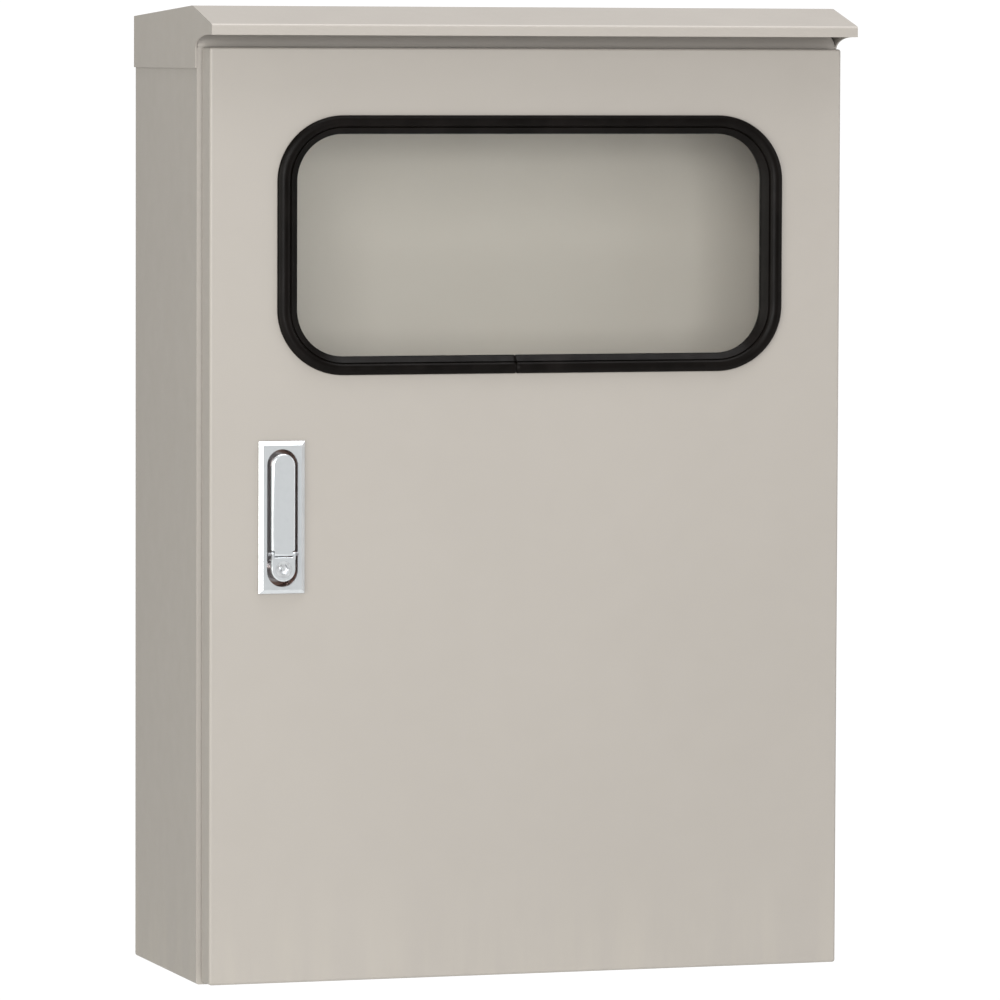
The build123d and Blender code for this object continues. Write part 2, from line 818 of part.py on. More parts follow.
def position_flag():
    """Curved flag on the shaft behind the small window of the cover."""
    outer = 44.0
    inner = 41.5
    with BuildPart() as flag:
        rod([(-97, shaft_out, shaft_z)], outer, 8, "X")
        rod([(-97, shaft_out, shaft_z)], inner, 10, "X", Mode.SUBTRACT)
        rim = [around_shaft(angle, reach, 0) for angle, reach in ((-20, 60), (0, 0), (90, 60), (throw, 120))]
        profile(rim, (-103, -91), Mode.INTERSECT)
        rod([(-97, shaft_out, shaft_z)], 11, 8, "X")
        spoke = [around_shaft(throw, reach, side) for reach, side in ((0, 2), (42.5, 2), (42.5, -2), (0, -2))]
        profile(spoke, (-98.5, -95.5))
        rod([(-97, shaft_out, shaft_z)], shaft_r, 20, "X", Mode.SUBTRACT)
    return flag.part


# ---------------------------------------------------------------- door


def door_panel():
    """Folded door with returns on four sides, a window opening and a handle opening."""
    with BuildPart() as panel:
        block((-door_half, door_half), (door_back, door_front), (door_low, door_high))
        fillet(panel.edges().filter_by(Axis.Y), 2.0)
        fillet(panel.faces().sort_by(Axis.Y)[0].edges(), 1.8)
        inner = door_half - sheet
        deep = (door_back - 1, door_front - sheet)
        block((-inner, inner), deep, (door_low + sheet, door_high - sheet), Mode.SUBTRACT)
        cut = 2 * panel_grip
        size = (view_width + cut, view_height + cut)
        rounded(door_front - 5, view_x, view_z, size, view_r + panel_grip, 10, Mode.SUBTRACT)
        stadium(door_front - 5, 14.0, 10, Mode.SUBTRACT)
        for z in hinge_zs:
            notch = (z - hinge_half - 3, z + hinge_half + 3)
            block((inner - 1, door_half + 1), (door_back - 1, hinge_out + 2), notch, Mode.SUBTRACT)
    return panel.part


def door_gasket():
    """Foam seal on the door's inner face, in line with the cabinet's lip."""
    middle_x = width / 2 - flange + sheet / 2
    middle_z = height / 2 - flange + sheet / 2
    half = seal_width / 2
    start = lip_out + seal_gap
    with BuildPart() as seal:
        size = (2 * (middle_x + half), 2 * (middle_z + half))
        hole = (size[0] - 2 * seal_width, size[1] - 2 * seal_width)
        rounded(start, 0, 0, size, 8.0, door_front - sheet - start)
        rounded(start - 1, 0, 0, hole, 2.0, 20, Mode.SUBTRACT)
    return seal.part


def rubber_ring(start, end, near, far):
    """One step of the window rubber, from near to far outside the visible opening."""
    with BuildSketch(front(start)) as outline:
        with Locations((view_x, view_z)):
            RectangleRounded(view_width + 2 * far, view_height + 2 * far, view_r + far)
            RectangleRounded(view_width + 2 * near, view_height + 2 * near, view_r + near, mode=Mode.SUBTRACT)
    extrude(outline.sketch, amount=end - start)


def window_gasket():
    """Black rubber that grips the door's edge on its outside and the pane on its inside."""
    pane_front = pane_back + pane_thick
    inner_face = door_front - sheet
    with BuildPart() as rubber:
        with BuildSketch(front(door_front)) as bead:
            with Locations((view_x, view_z)):
                outer = (view_width + 2 * rubber_side, view_height + 2 * rubber_top)
                RectangleRounded(*outer, view_r + rubber_width)
                RectangleRounded(view_width, view_height, view_r, mode=Mode.SUBTRACT)
        extrude(bead.sketch, amount=rubber_front - door_front)
        top = rubber.faces().sort_by(Axis.Y)[0]
        fillet(top.outer_wire().edges(), 3.4)
        top = rubber.faces().sort_by(Axis.Y)[0]
        chamfer(top.inner_wires()[0].edges(), 3.4)
        rubber_ring(pane_front, door_front, 0, panel_grip)
        rubber_ring(pane_back, pane_front, pane_grip, panel_grip)
        rubber_ring(pane_back - 3, pane_back, 1.0, panel_grip)
        rubber_ring(pane_back, inner_face, panel_grip, rubber_width - 2)
    return rubber.part


def window_pane():
    """Clear pane held by the rubber."""
    with BuildPart() as pane:
        size = (view_width + 2 * pane_grip, view_height + 2 * pane_grip)
        rounded(pane_back, view_x, view_z, size, view_r + pane_grip, pane_thick)
    return pane.part


def door_stiffeners():
    """Two hat sections across the inside of the door, clear of the window."""
    face = door_front - sheet
    steel = 1.2
    deep = 12.0
    hat = [
        (0, -22), (0, -10), (deep, -10), (deep, 10), (0, 10), (0, 22), (steel, 22), (steel, 10 + steel),
        (deep + steel, 10 + steel), (deep + steel, -10 - steel), (steel, -10 - steel), (steel, -22),
    ]
    with BuildPart() as stiffeners:
        for z in (72.0, -230.0):
            profile([(face - out, z + up) for out, up in hat], (-160, 200))
    return stiffeners.part


def hinge_door_leaves():
    """Upper half of each hinge: a leaf on the door's inner face, a web and a bored knuckle."""
    face = door_front - sheet
    with BuildPart() as leaves:
        for z in hinge_zs:
            span = (z + 0.2, z + hinge_half)
            block((231.0, 243.5), (face - 2.0, face), span)
            block((238.5, 241.5), (hinge_out, face), span)
            rod([(hinge_x, hinge_out, sum(span) / 2)], knuckle_r, hinge_half - 0.2, "Z")
        bore = [(hinge_x, hinge_out, z) for z in hinge_zs]
        rod(bore, pin_r + run_gap, 2 * hinge_half + 2, "Z", Mode.SUBTRACT)
    return leaves.part


# ---------------------------------------------------------------- swing handle


def handle_housing():
    """Bevelled bezel with a deep pocket and a threaded boss behind it."""
    with BuildPart() as housing:
        with BuildSketch(front(bezel_back)):
            with Locations((grip_x, bezel_z)):
                Rectangle(bezel_width, bezel_height)
        extrude(amount=bezel_front - bezel_back)
        chamfer(housing.faces().sort_by(Axis.Y)[0].edges(), 2.2, 2.8)
        stadium(tub_back, pocket_r + 1.6, bezel_back - tub_back)
        rod_out([(grip_x, hub_z)], boss_r, boss_back, tub_back)
        stadium(tub_floor, pocket_r, 30, Mode.SUBTRACT)
        rod_out([(grip_x, hub_z)], spindle_r + run_gap, boss_back - 1, tub_floor + 1, Mode.SUBTRACT)
    return housing.part


def handle_gasket():
    """Thin seal under the bezel."""
    with BuildPart() as seal:
        size = (bezel_width - 1.0, bezel_height - 1.0)
        rounded(door_front, grip_x, bezel_z, size, 0.5, bezel_back - door_front)
        stadium(door_front - 1, 14.0, 5, Mode.SUBTRACT)
    return seal.part


def handle_clamp():
    """Bridge that pulls the housing against the door from inside."""
    face = door_front - sheet
    span = (hub_z - 14, 16.0)
    with BuildPart() as clamp:
        block((grip_x - 17, grip_x + 17), (tub_back - 2, face), span)
        block((grip_x - 15, grip_x + 15), (tub_back, face + 1), (span[0] - 1, span[1] + 1), Mode.SUBTRACT)
        rod_out([(grip_x, hub_z)], boss_r + 0.2, tub_back - 5, tub_back + 1, Mode.SUBTRACT)
    return clamp.part


def handle_nut():
    """Hexagon nut on the boss."""
    with BuildPart() as nut:
        hexagon_out([(grip_x, hub_z)], 24.0, boss_back + 1, tub_back - 2)
        rod_out([(grip_x, hub_z)], boss_r, boss_back - 2, tub_back, Mode.SUBTRACT)
    return nut.part


def handle_hub():
    """Round hub in the pocket's lower end, square-topped in front, with an ear at each side."""
    left = grip_x - grip_r
    right = grip_x + grip_r
    neck = knuckle_z - 2.2
    with BuildPart() as hub:
        rod_out([(grip_x, hub_z)], grip_r, grip_back, grip_front)
        block((left, right), (grip_back, grip_front), (hub_z, neck))
        fillet(hub.faces().sort_by(Axis.Y)[0].edges(), 0.9)
        block((left, right), (grip_back, grip_front + 1), (neck, knuckle_z), Mode.SUBTRACT)
        rod_out([(grip_x, hub_z)], hub_r, tub_floor + 0.4, grip_back)
        for ear in ((left, left + 1.9), (right - 1.9, right)):
            block(ear, (grip_back, grip_front), (neck - 2, knuckle_z))
            rod([(sum(ear) / 2, knuckle_out, knuckle_z)], grip_knuckle_r, 1.9, "X")
        rod([(grip_x, knuckle_out, knuckle_z)], grip_pin_r, 30, "X", Mode.SUBTRACT)
        rod_out([(grip_x, hub_z)], plug_r + run_gap, 195, grip_front + 1, Mode.SUBTRACT)
        rod_out([(grip_x, hub_z)], 2.6, 180, 196, Mode.SUBTRACT)
    return hub.part


def handle_spindle():
    """Spindle from the hub through the boss, squared for the cam."""
    with BuildPart() as spindle:
        rod_out([(grip_x, hub_z)], spindle_r, boss_back, tub_floor + 0.4)
        block((grip_x - 3.5, grip_x + 3.5), (171.1, boss_back), (hub_z - 3.5, hub_z + 3.5))
        rod_out([(grip_x, hub_z)], 2.6, 170, 190, Mode.SUBTRACT)
    return spindle.part


def latch_cam():
    """Flat cam that reaches behind the cabinet's left flange."""
    back = cam_front - cam_thick
    with BuildPart() as cam:
        rod_out([(grip_x, hub_z)], 9.0, back, cam_front)
        block((grip_x - cam_reach, grip_x), (back, cam_front), (hub_z - 8, hub_z + 8))
        fillet(cam.edges().filter_by(Axis.Y).sort_by(Axis.X)[:2], 5.0)
        block((grip_x - 3.6, grip_x + 3.6), (back - 1, cam_front + 1), (hub_z - 3.6, hub_z + 3.6), Mode.SUBTRACT)
    return cam.part


def cam_screw():
    """Screw and washer that hold the cam on the spindle."""
    back = cam_front - cam_thick
    with BuildPart() as screw:
        rod_out([(grip_x, hub_z)], 8.0, back - 1.5, back)
        hexagon_out([(grip_x, hub_z)], 8.0, back - 5, back - 1.5)
        rod_out([(grip_x, hub_z)], 2.5, back - 2, 194)
    return screw.part


def lever_pin():
    """Cross pin between the hub's ears."""
    with BuildPart() as pin:
        rod([(grip_x, knuckle_out, knuckle_z)], grip_pin_r, 2 * grip_r + 1, "X")
        heads = [(grip_x + side * (grip_r + 1.3), knuckle_out, knuckle_z) for side in (-1, 1)]
        rod(heads, 1.4, 2.0, "X")
    return pin.part


def handle_lever():
    """Flat grip with a full knuckle at its lower end and a shallow turn arrow."""
    neck = grip_r - 2.2
    start = knuckle_z + 2.2
    round_z = grip_top - grip_r
    tip = 5.5
    shaft_half = 1.3
    arrow_z = -20.8
    arrow = [
        (-tip, -shaft_half), (0.2, -shaft_half), (0.2, -2.9), (tip, 0), (0.2, 2.9), (0.2, shaft_half),
        (-tip, shaft_half),
    ]
    with BuildPart() as lever:
        block((grip_x - grip_r, grip_x + grip_r), (grip_back, grip_front), (start, round_z))
        rod_out([(grip_x, round_z)], grip_r, grip_back, grip_front)
        rim = lever.faces().sort_by(Axis.Y)[0].edges()
        fillet(rim.sort_by(Axis.Z)[1:], 1.7)
        fillet(lever.faces().sort_by(Axis.Y)[0].edges().sort_by(Axis.Z)[0], 0.9)
        block((grip_x - neck, grip_x + neck), (grip_back, grip_front), (knuckle_z, start + 1.5))
        rod([(grip_x, knuckle_out, knuckle_z)], grip_knuckle_r, 2 * neck, "X")
        rod([(grip_x, knuckle_out, knuckle_z)], grip_pin_r + run_gap, 30, "X", Mode.SUBTRACT)
        with BuildSketch(front(grip_front - 0.35)) as mark:
            with Locations((grip_x, arrow_z)):
                with BuildLine():
                    Polyline(*arrow, close=True)
                make_face()
                offset(amount=-0.6, mode=Mode.SUBTRACT)
        extrude(mark.sketch, amount=1, mode=Mode.SUBTRACT)
    return lever.part


def lock_plug():
    """Lock insert with a hexagonal key recess and a centre pin."""
    with BuildPart() as plug:
        rod_out([(grip_x, hub_z)], plug_r, 195.3, grip_front - 0.1)
        with BuildSketch(front(202)) as recess:
            with Locations((grip_x, hub_z)):
                RegularPolygon(4.2, 6)
                Circle(1.5, mode=Mode.SUBTRACT)
        extrude(recess.sketch, amount=10, mode=Mode.SUBTRACT)
    return plug.part


def main():
    os.makedirs("parts", exist_ok=True)
    plain = [
        cabinet_shell, rain_hood, hood_screws, hinge_body_leaves, hinge_pins, hinge_screws, gland_plate,
        gland_screws, cable_grommets, mounting_plate, plate_studs, plate_nuts, din_rail, wiring_duct,
        duct_cover, controller_case, controller_display, indicator_lenses, terminal_blocks, earth_bar,
        earth_screws, ats_base, ats_cover, shaft_bearings, load_contacts, terminal_bolts, contact_shaft,
        moving_blades, motor_bracket, drive_motor, motor_pinion, manual_lever, position_flag, door_panel,
        door_gasket, window_gasket, window_pane, door_stiffeners, hinge_door_leaves, handle_housing,
        handle_gasket, handle_clamp, handle_nut, handle_hub, handle_spindle, latch_cam, cam_screw,
        lever_pin, handle_lever, lock_plug,
    ]
    for make in plain:
        save(make(), make.__name__)
    save(fixed_contacts(1), "normal_contacts")
    save(fixed_contacts(-1), "standby_contacts")
    save(gear(gear_teeth, 90, shaft_out, shaft_z, shaft_r, 12, -82.6), "shaft_gear")
    for x, node in zip(button_xs, button_names):
        save(controller_button(x), node)
    for x, letter in zip(breaker_xs, breaker_names):
        save(breaker_case(x), f"breaker_case_{letter}")
        save(breaker_toggle(x), f"breaker_toggle_{letter}")


main()
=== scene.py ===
"""Looks for the wall-mounted automatic transfer switch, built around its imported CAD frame. Metres."""

import json
import math

import bmesh
import bpy
from mathutils import Matrix, Vector


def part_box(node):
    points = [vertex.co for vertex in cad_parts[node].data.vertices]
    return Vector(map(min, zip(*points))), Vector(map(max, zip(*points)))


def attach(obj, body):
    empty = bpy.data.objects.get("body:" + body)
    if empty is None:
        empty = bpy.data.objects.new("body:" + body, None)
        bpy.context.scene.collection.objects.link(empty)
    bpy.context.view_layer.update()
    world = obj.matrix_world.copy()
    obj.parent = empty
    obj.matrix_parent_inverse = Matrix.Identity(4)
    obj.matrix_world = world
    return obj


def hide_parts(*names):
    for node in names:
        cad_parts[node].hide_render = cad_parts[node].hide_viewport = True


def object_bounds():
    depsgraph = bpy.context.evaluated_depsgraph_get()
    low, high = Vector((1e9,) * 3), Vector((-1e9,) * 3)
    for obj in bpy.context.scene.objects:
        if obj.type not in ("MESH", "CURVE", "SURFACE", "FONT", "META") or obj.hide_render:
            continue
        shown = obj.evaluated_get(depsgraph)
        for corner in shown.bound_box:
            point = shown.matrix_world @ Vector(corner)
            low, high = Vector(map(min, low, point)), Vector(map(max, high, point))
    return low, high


MM = 0.001
EDGE_ANGLE = 35.0
WELD_GAP = 0.01 * MM
SMOOTH_ANGLE = 38.0

# The handle's pocket: its middle, half its straight length, and where its painted shade and reflection begin
# and end.
POCKET_X = -0.1918
POCKET_Z = -0.0023
POCKET_HALF = 0.0391
POCKET_MOUTH = (-0.2032, -0.2000)
POCKET_FLOOR = (-0.1856, -0.1854)
POCKET_RIM = (0.0080, 0.0098)
POCKET_WALL = (0.0124, 0.0128)

# The window rubber: its band in front of the door, and its outer corners, in millimetres.
RUBBER_BAND = 15.0
RUBBER_SIDE = 16.1
RUBBER_TOP = 13.9
RUBBER_CORNER = 35.0
RUBBER_SEAM = -10.5
SEAM_DEPTH = 0.75
SEAM_STEPS = ((-3.0, 1.0), (-0.9, 1.0), (-0.45, 0.55), (0.0, 0.0), (0.45, 0.55), (0.9, 1.0), (3.0, 1.0))

# The door seal and the cable entries, in millimetres.
SEAL_BAND = 12.0
SEAL_CORNER = 4.0
ENTRY_RADIUS = 20.0

# The studio, in metres and watts. Each light is a place, a size, a power and a colour.
FLOOR_SIZE = 6.0
FLOOR_DROP = 0.55
FLOOR_CELLS = 24
BACKDROP = ((1.0, 1.0, 1.0, 1.0), 1.05)
AMBIENT = ((1.0, 0.995, 0.975, 1.0), 0.42)
LIGHT_TARGET = (0.0, -0.1, 0.0)
LIGHTS = {
    "key": ((-1.6, -3.6, 1.15), (1.4, 1.4), 40.0, (1.0, 0.985, 0.965)),
    "face": ((-0.75, -4.6, 0.35), (1.6, 1.2), 62.0, (1.0, 1.0, 1.0)),
    "side": ((-2.7, -1.8, 0.3), (1.2, 2.0), 36.0, (1.0, 1.0, 0.92)),
    "top": ((0.2, -0.6, 3.0), (2.6, 2.0), 88.0, (1.0, 1.0, 1.0)),
    "rim": ((2.8, -1.6, 0.6), (1.0, 2.4), 12.0, (1.0, 0.98, 0.96)),
}

# The camera: a long lens, its place and its turns in degrees.
LENS = 256.25
SENSOR = 36.0
EYE = (-1.6351, -5.2432, 0.3480)
YAW = 17.735
PITCH = 3.672
ROLL = 0.209

# The cabinet's paint, the dust that settles on it, and the pale bloom on rubber.
PAINT = (0.362, 0.336, 0.309)
DUST = (0.50, 0.46, 0.39)
BLOOM = (0.024, 0.019, 0.018)

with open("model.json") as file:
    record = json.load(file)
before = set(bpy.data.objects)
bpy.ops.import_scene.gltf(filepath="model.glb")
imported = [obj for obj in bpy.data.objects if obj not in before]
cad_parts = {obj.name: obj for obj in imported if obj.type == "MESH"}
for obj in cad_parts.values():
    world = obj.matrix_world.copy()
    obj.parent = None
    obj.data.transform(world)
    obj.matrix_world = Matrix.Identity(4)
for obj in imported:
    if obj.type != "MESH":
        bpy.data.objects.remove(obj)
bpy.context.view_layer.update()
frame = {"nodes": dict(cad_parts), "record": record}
nodes = frame["nodes"]
slot_of = {row["node"]: row["material_slot"] for row in frame["record"]["subparts"]}


# ------------------------------------------------------------------ node graph helpers


class Graph:
    """A small wrapper that adds shader nodes and links them."""

    def __init__(self, name):
        self.material = bpy.data.materials.new(name)
        self.material.use_nodes = True
        self.tree = self.material.node_tree
        self.tree.nodes.clear()
        self.output = self.tree.nodes.new("ShaderNodeOutputMaterial")
        self.place = self.node("ShaderNodeTexCoord").outputs["Object"]

    def node(self, kind, **inputs):
        """A new node; an input's spaces are written as underscores."""
        made = self.tree.nodes.new(kind)
        for key, value in inputs.items():
            self.feed(made.inputs[key.replace("_", " ")], value)
        return made

    def feed(self, socket, value):
        """Links another node's output to a socket, or sets the socket's own value."""
        if isinstance(value, bpy.types.NodeSocket):
            self.tree.links.new(value, socket)
        else:
            socket.default_value = value

    def stretched(self, scale):
        """Object coordinates scaled by a different factor along each axis."""
        made = self.node("ShaderNodeMapping", Vector=self.place)
        made.inputs["Scale"].default_value = scale
        return made.outputs["Vector"]

    def noise(self, scale, detail=3.0, rough=0.5, place=None):
        """Noise whose scale is in features per metre."""
        made = self.node("ShaderNodeTexNoise", Vector=place or self.place, Scale=scale, Detail=detail)
        made.inputs["Roughness"].default_value = rough
        return made.outputs["Fac"]

    def spread(self, value, low, high, start=0.3, end=0.7):
        """A value moved from one range to another."""
        made = self.node("ShaderNodeMapRange", Value=value)
        made.inputs["From Min"].default_value = start
        made.inputs["From Max"].default_value = end
        made.inputs["To Min"].default_value = low
        made.inputs["To Max"].default_value = high
        return made.outputs["Result"]

    def math(self, operation, a, b=0.0):
        made = self.node("ShaderNodeMath")
        made.operation = operation
        self.feed(made.inputs[0], a)
        self.feed(made.inputs[1], b)
        return made.outputs["Value"]

    def blend(self, amount, first, second):
        """Mixes two colours."""
        made = self.node("ShaderNodeMix")
        made.data_type = "RGBA"
        self.feed(made.inputs["Factor"], amount)
        self.feed(made.inputs["A"], (*first, 1.0) if isinstance(first, tuple) else first)
        self.feed(made.inputs["B"], (*second, 1.0) if isinstance(second, tuple) else second)
        return made.outputs["Result"]

    def mix_shaders(self, amount, first, second):
        """Mixes two shaders."""
        made = self.node("ShaderNodeMixShader", Fac=amount)
        self.feed(made.inputs[1], first)
        self.feed(made.inputs[2], second)
        return made.outputs["Shader"]

    def bump(self, height, depth, strength=1.0, normal=None):
        """Bump whose depth is in metres."""
        made = self.node("ShaderNodeBump", Height=height, Distance=depth, Strength=strength)
        if normal is not None:
            self.feed(made.inputs["Normal"], normal)
        return made.outputs["Normal"]

    def principled(self, **inputs):
        """Ends the graph in a Principled shader and gives back the material."""
        made = self.node("ShaderNodeBsdfPrincipled", **inputs)
        self.tree.links.new(made.outputs["BSDF"], self.output.inputs["Surface"])
        return self.material


def scaled(colour, factor):
    """A lighter or darker version of a colour."""
    return tuple(min(1.0, channel * factor) for channel in colour)


# ------------------------------------------------------------------ materials


def powder_coat(name, colour, dust=0.35):
    """Satin powder coat: orange peel, a fine speckle, cloudy tone and a little dust low down."""
    g = Graph(name)
    cloud = g.spread(g.noise(3.2, 4.0, 0.55), 0.0, 1.0)
    tone = g.blend(cloud, scaled(colour, 0.975), scaled(colour, 1.02))
    speck = g.spread(g.noise(2600.0, 1.0), 0.0, 0.10, 0.60, 0.78)
    tone = g.blend(speck, tone, scaled(colour, 0.62))
    height = g.node("ShaderNodeSeparateXYZ", Vector=g.place).outputs["Z"]
    low = g.spread(height, 1.0, 0.0, -0.352, -0.26)
    streak = g.spread(g.noise(30.0, 5.0, 0.6, g.stretched((1.0, 1.0, 0.12))), 0.0, 1.0, 0.42, 0.70)
    film = g.math("MULTIPLY", g.math("MULTIPLY", low, streak), dust)
    tone = g.blend(film, tone, DUST)
    peel = g.bump(g.noise(620.0, 2.0, 0.45), 0.000030, 0.55)
    grain = g.bump(g.noise(3000.0, 1.0), 0.000010, 0.5, peel)
    rough = g.spread(g.noise(45.0, 4.0), 0.36, 0.47)
    return g.principled(Base_Color=tone, Roughness=rough, Normal=grain, IOR=1.5)


def painted_pocket_shade(g):
    """How much painted shade and reflection a place takes: none outside the handle's pocket, and most beside
    the pocket's walls.
    """
    axis = g.node("ShaderNodeSeparateXYZ", Vector=g.place).outputs
    aside = g.math("SUBTRACT", axis["X"], POCKET_X)
    along = g.math("ABSOLUTE", g.math("SUBTRACT", axis["Z"], POCKET_Z))
    beyond = g.math("MAXIMUM", g.math("SUBTRACT", along, POCKET_HALF), 0.0)
    apart = g.math("ADD", g.math("MULTIPLY", aside, aside), g.math("MULTIPLY", beyond, beyond))
    rim = g.spread(apart, 0.35, 1.0, POCKET_RIM[0] ** 2, POCKET_RIM[1] ** 2)
    inside = g.spread(apart, 1.0, 0.0, POCKET_WALL[0] ** 2, POCKET_WALL[1] ** 2)
    deep = g.spread(axis["Y"], 0.0, 1.0, *POCKET_MOUTH)
    above = g.spread(axis["Y"], 1.0, 0.0, *POCKET_FLOOR)
    return g.math("MULTIPLY", g.math("MULTIPLY", rim, inside), g.math("MULTIPLY", deep, above))


def polished(name, colour, pocket_shade_colour):
    """Chrome-plated zinc casting: slight waves, fine hairlines, smudges, and a painted shade and reflection
    in the pocket.
    """
    g = Graph(name)
    smudge = g.spread(g.noise(85.0, 5.0, 0.6), 0.0, 1.0, 0.45, 0.70)
    tone = g.blend(smudge, colour, scaled(colour, 0.93))
    # Painted shade and reflection: a dark brownish tone laid into the pocket, where its walls fall into
    # shadow and reflect.
    tone = g.blend(painted_pocket_shade(g), tone, pocket_shade_colour)
    rough = g.spread(smudge, 0.10, 0.22, 0.0, 1.0)
    wave = g.bump(g.noise(140.0, 2.0), 0.000035, 0.5)
    hair = g.noise(900.0, 2.0, 0.6, g.stretched((1.0, 1.0, 0.03)))
    fine = g.bump(hair, 0.000004, 0.5, wave)
    return g.principled(Base_Color=tone, Metallic=0.6, Roughness=rough, Normal=fine, IOR=1.6)


def plated(name, colour, rough_low=0.24, rough_high=0.42):
    """Zinc-plated steel: a faint spangle, cool and warm patches and rolled streaks."""
    g = Graph(name)
    spangle = g.node("ShaderNodeTexVoronoi", Vector=g.place, Scale=260.0).outputs["Color"]
    grey = g.node("ShaderNodeRGBToBW", Color=spangle).outputs["Val"]
    warm = g.blend(g.noise(60.0, 3.0), (0.96 * colour[0], 0.98 * colour[1], colour[2]), colour)
    tone = g.blend(g.spread(grey, 0.0, 0.35, 0.0, 1.0), warm, scaled(colour, 0.80))
    rough = g.spread(g.noise(150.0, 4.0), rough_low, rough_high)
    rolled = g.bump(g.noise(500.0, 2.0, 0.5, g.stretched((0.06, 1.0, 1.0))), 0.000012, 0.5)
    return g.principled(Base_Color=tone, Metallic=1.0, Roughness=rough, Normal=rolled)


def bare_metal(name, colour, dull):
    """Copper or brass: drawn lines and a patchy dull film."""
    g = Graph(name)
    film = g.spread(g.noise(70.0, 5.0, 0.6), 0.0, 0.75, 0.42, 0.68)
    tone = g.blend(film, colour, dull)
    rough = g.spread(film, 0.22, 0.46, 0.0, 0.75)
    drawn = g.bump(g.noise(800.0, 2.0, 0.5, g.stretched((1.0, 1.0, 0.05))), 0.000010, 0.6)
    return g.principled(Base_Color=tone, Metallic=1.0, Roughness=rough, Normal=drawn)


def rubber(name, colour):
    """Extruded rubber: a satin skin with fine pits and a pale bloom."""
    g = Graph(name)
    bloom = g.spread(g.noise(38.0, 5.0, 0.65), 0.0, 0.18, 0.40, 0.72)
    tone = g.blend(bloom, colour, BLOOM)
    rough = g.spread(g.noise(120.0, 3.0), 0.32, 0.42)
    skin = g.bump(g.noise(900.0, 3.0, 0.6), 0.000030, 0.5)
    return g.principled(Base_Color=tone, Roughness=rough, Normal=skin, IOR=1.18)


def foam(name, colour):
    """Foamed-in-place seal: closed skin over small cells."""
    g = Graph(name)
    cell = g.node("ShaderNodeTexVoronoi", Vector=g.place, Scale=900.0).outputs["Distance"]
    tone = g.blend(g.spread(g.noise(50.0, 4.0), 0.0, 0.6), colour, scaled(colour, 1.5))
    skin = g.bump(cell, 0.00008, 0.5)
    rough = g.spread(g.noise(200.0, 3.0), 0.72, 0.88)
    return g.principled(Base_Color=tone, Roughness=rough, Normal=skin)


def moulding(name, colour, grain=1500.0, depth=0.00003, rough=(0.42, 0.55)):
    """Moulded plastic: spark-eroded grain and faint flow tone."""
    g = Graph(name)
    flow = g.spread(g.noise(24.0, 4.0, 0.6), 0.0, 1.0)
    tone = g.blend(flow, scaled(colour, 0.94), scaled(colour, 1.05))
    skin = g.bump(g.noise(grain, 2.0, 0.6), depth, 0.6)
    gloss = g.spread(g.noise(90.0, 3.0), rough[0], rough[1])
    return g.principled(Base_Color=tone, Roughness=gloss, Normal=skin, IOR=1.47)


def pane_glass(name):
    """Flat clear pane: light goes straight through, with a glossy reflection and a slight film of dust."""
    g = Graph(name)
    clear = g.node("ShaderNodeBsdfTransparent", Color=(0.985, 0.990, 0.986, 1.0)).outputs["BSDF"]
    shine = g.node("ShaderNodeBsdfGlossy", Color=(1.0, 1.0, 1.0, 1.0), Roughness=0.03).outputs["BSDF"]
    haze = g.node("ShaderNodeBsdfDiffuse", Color=(0.74, 0.73, 0.70, 1.0)).outputs["BSDF"]
    film = g.spread(g.noise(26.0, 6.0, 0.65), 0.003, 0.014, 0.40, 0.72)
    dusty = g.mix_shaders(film, clear, haze)
    fresnel = g.node("ShaderNodeFresnel", IOR=1.40).outputs["Fac"]
    mixed = g.mix_shaders(fresnel, dusty, shine)
    g.feed(g.output.inputs["Surface"], mixed)
    return g.material


def tinted_lens(name, colour):
    """Tinted lens with moulded ribs."""
    g = Graph(name)
    rib = g.noise(1800.0, 1.0, 0.5, g.stretched((1.0, 1.0, 0.15)))
    tone = g.blend(g.noise(300.0, 2.0), scaled(colour, 0.85), colour)
    rough = g.spread(rib, 0.12, 0.24)
    return g.principled(Base_Color=tone, Roughness=rough, Normal=g.bump(rib, 0.00004, 0.4))


